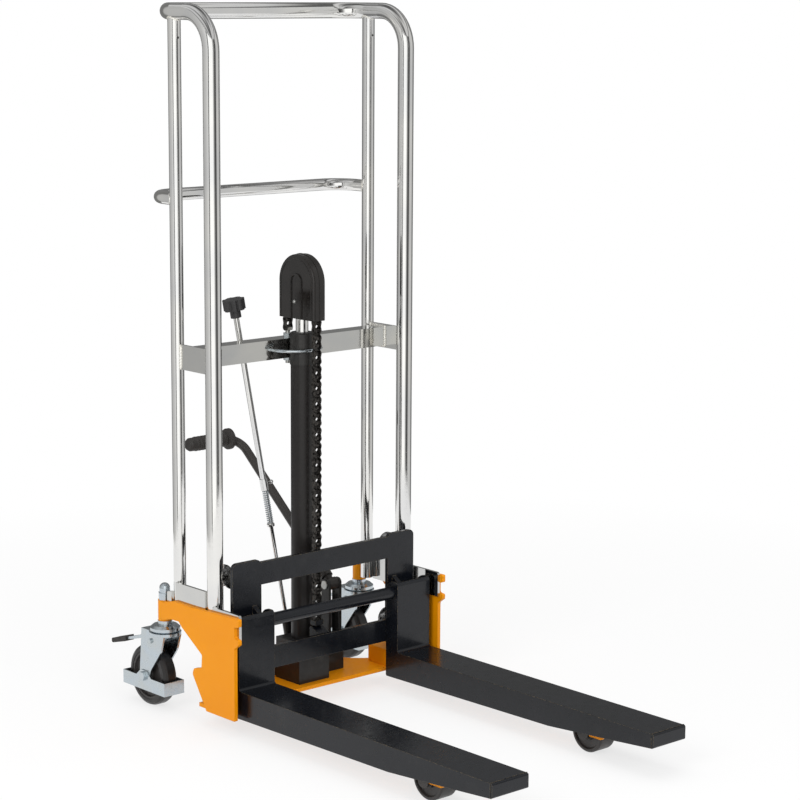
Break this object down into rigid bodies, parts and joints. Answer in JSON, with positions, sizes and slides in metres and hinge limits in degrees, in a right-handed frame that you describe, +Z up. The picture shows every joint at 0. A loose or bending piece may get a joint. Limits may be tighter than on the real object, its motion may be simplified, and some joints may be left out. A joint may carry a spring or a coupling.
{
  "type": "fork stacker",
  "caption": "Hand-operated hydraulic fork stacker with a tubular mast, chain-lifted forks on straddle legs, a foot of braked swivel casters and a pump lever.",
  "frame": {"origin": "on the floor, under the middle of the machine's length and width", "axes": "+Z up; -Y along the forks to their tips; +X to the right of an operator who stands at the push handle"},
  "size_m": [0.588, 1.179, 1.427],
  "materials": {
    "chrome_tube": "bright chrome plate",
    "polished_steel": "ground and polished",
    "zinc_steel": "bright zinc plate",
    "orange_paint": "gloss powder coat",
    "black_paint": "gloss black enamel",
    "black_plastic": "fine grain",
    "black_rubber": "moulded",
    "tyre_rubber": "smooth tread",
    "grey_hub": "satin",
    "nylon": "black turned nylon",
    "chain_steel": "oiled steel",
    "roller_steel": "turned steel"
  },
  "bodies": {
    "frame": {"mast_hoop": "chrome_tube", "rear_uprights": "chrome_tube", "push_handle": "chrome_tube", "crossbar": "chrome_tube", "gusset_plates": "chrome_tube", "cylinder_bow": "zinc_steel", "chain_anchor": "zinc_steel", "frame_nuts": "polished_steel", "side_plate_left": "orange_paint", "side_plate_right": "orange_paint", "base_crossmember": "orange_paint", "leg_left": "orange_paint", "leg_right": "orange_paint", "load_roller_axles": "zinc_steel", "cylinder_barrel": "black_paint", "gland_nut": "black_paint", "pump_block": "black_paint", "lever_pin": "zinc_steel", "caster_stem_left": "zinc_steel", "caster_stem_right": "zinc_steel", "chain_rear": "chain_steel"},
    "ram": {"ram_rod": "polished_steel", "pulley_yoke": "zinc_steel", "pulley_axle": "zinc_steel", "cover_left": "black_plastic", "cover_right": "black_plastic", "cover_screws": "zinc_steel", "chain_wrap": "chain_steel"},
    "pulley": {"chain_pulley": "polished_steel"},
    "carriage": {"fork_left": "black_paint", "fork_right": "black_paint", "carriage_frame": "black_paint", "roller_pins": "zinc_steel", "chain_front": "chain_steel"},
    "guide_low_left": {"lower_guide_roller_left": "roller_steel"},
    "guide_low_right": {"lower_guide_roller_right": "roller_steel"},
    "guide_high_left": {"upper_guide_roller_left": "roller_steel"},
    "guide_high_right": {"upper_guide_roller_right": "roller_steel"},
    "load_wheel_left": {"load_roller_left": "nylon"},
    "load_wheel_right": {"load_roller_right": "nylon"},
    "lever": {"pump_lever": "black_paint", "lever_grip": "black_rubber"},
    "plunger": {"pump_plunger": "zinc_steel"},
    "release": {"release_rod": "zinc_steel", "release_knob": "black_plastic", "release_spring": "zinc_steel"},
    "caster_left": {"caster_yoke_left": "zinc_steel", "toe_guard_left": "zinc_steel", "caster_axle_left": "zinc_steel"},
    "wheel_left": {"caster_hub_left": "grey_hub", "caster_tyre_left": "tyre_rubber"},
    "brake_left": {"brake_pedal_left": "zinc_steel", "brake_tip_left": "black_rubber"},
    "caster_right": {"caster_yoke_right": "zinc_steel", "toe_guard_right": "zinc_steel", "caster_axle_right": "zinc_steel"},
    "wheel_right": {"caster_hub_right": "grey_hub", "caster_tyre_right": "tyre_rubber"},
    "brake_right": {"brake_pedal_right": "zinc_steel", "brake_tip_right": "black_rubber"}
  },
  "joints": [
    {"name": "ram_lift", "type": "slide", "parent": "frame", "child": "ram", "axis": [0, 0, 1], "range_m": [0, 0.5], "deforming": ["chain_rear"]},
    {"name": "carriage_lift", "type": "slide", "parent": "ram", "child": "carriage", "axis": [0, 0, 1], "range_m": [0, 0.5], "deforming": ["chain_front"]},
    {"name": "pulley_turn", "type": "hinge", "parent": "ram", "child": "pulley", "pos_m": [0, 0.2405, 0.872], "axis": [1, 0, 0], "continuous": true},
    {"name": "guide_low_left_turn", "type": "hinge", "parent": "carriage", "child": "guide_low_left", "pos_m": [-0.2182, 0.2085, 0.136], "axis": [0, 1, 0], "continuous": true},
    {"name": "guide_low_right_turn", "type": "hinge", "parent": "carriage", "child": "guide_low_right", "pos_m": [0.2182, 0.2085, 0.136], "axis": [0, 1, 0], "continuous": true},
    {"name": "guide_high_left_turn", "type": "hinge", "parent": "carriage", "child": "guide_high_left", "pos_m": [-0.2182, 0.2085, 0.3], "axis": [0, 1, 0], "continuous": true},
    {"name": "guide_high_right_turn", "type": "hinge", "parent": "carriage", "child": "guide_high_right", "pos_m": [0.2182, 0.2085, 0.3], "axis": [0, 1, 0], "continuous": true},
    {"name": "load_wheel_left_turn", "type": "hinge", "parent": "frame", "child": "load_wheel_left", "pos_m": [-0.209, -0.3955, 0.04], "axis": [1, 0, 0], "continuous": true},
    {"name": "load_wheel_right_turn", "type": "hinge", "parent": "frame", "child": "load_wheel_right", "pos_m": [0.209, -0.3955, 0.04], "axis": [1, 0, 0], "continuous": true},
    {"name": "pump_lever_swing", "type": "hinge", "parent": "frame", "child": "lever", "pos_m": [0.088, 0.2525, 0.226], "axis": [1, 0, 0], "range_deg": [-45, 0], "stiffness_Nm_per_rad": 4, "springref_deg": 68.75},
    {"name": "plunger_slide", "type": "slide", "parent": "frame", "child": "plunger", "axis": [0, 0, 1], "range_m": [-0.0205, 0.0005]},
    {"name": "release_turn", "type": "hinge", "parent": "frame", "child": "release", "pos_m": [0.003, 0.2881, 0.122], "axis": [-0.1643, 0.0406, 0.9856], "range_deg": [0, 120]},
    {"name": "caster_left_swivel", "type": "hinge", "parent": "frame", "child": "caster_left", "pos_m": [-0.261, 0.3635, 0.164], "axis": [0, 0, 1], "range_deg": [-145, 160]},
    {"name": "wheel_left_turn", "type": "hinge", "parent": "caster_left", "child": "wheel_left", "pos_m": [-0.261, 0.4065, 0.0635], "axis": [1, 0, 0], "continuous": true},
    {"name": "brake_left_press", "type": "hinge", "parent": "caster_left", "child": "brake_left", "pos_m": [-0.261, 0.3835, 0.142], "axis": [1, 0, 0], "range_deg": [-5, 0]},
    {"name": "caster_right_swivel", "type": "hinge", "parent": "frame", "child": "caster_right", "pos_m": [0.261, 0.3635, 0.164], "axis": [0, 0, 1], "range_deg": [-160, 145]},
    {"name": "wheel_right_turn", "type": "hinge", "parent": "caster_right", "child": "wheel_right", "pos_m": [0.261, 0.4065, 0.0635], "axis": [1, 0, 0], "continuous": true},
    {"name": "brake_right_press", "type": "hinge", "parent": "caster_right", "child": "brake_right", "pos_m": [0.261, 0.3835, 0.142], "axis": [1, 0, 0], "range_deg": [-5, 0]}
  ],
  "couplings": [
    {"joint": "carriage_lift", "follows": "ram_lift", "ratio": 1},
    {"joint": "pulley_turn", "follows": "ram_lift", "rad_per_m": -21.877},
    {"joint": "plunger_slide", "follows": "pump_lever_swing", "m_per_rad": 0.0255},
    {"joint": "guide_low_left_turn", "follows": "ram_lift", "rad_per_m": -130.72},
    {"joint": "guide_low_right_turn", "follows": "ram_lift", "rad_per_m": 130.72},
    {"joint": "guide_high_left_turn", "follows": "ram_lift", "rad_per_m": -130.72},
    {"joint": "guide_high_right_turn", "follows": "ram_lift", "rad_per_m": 130.72}
  ]
}
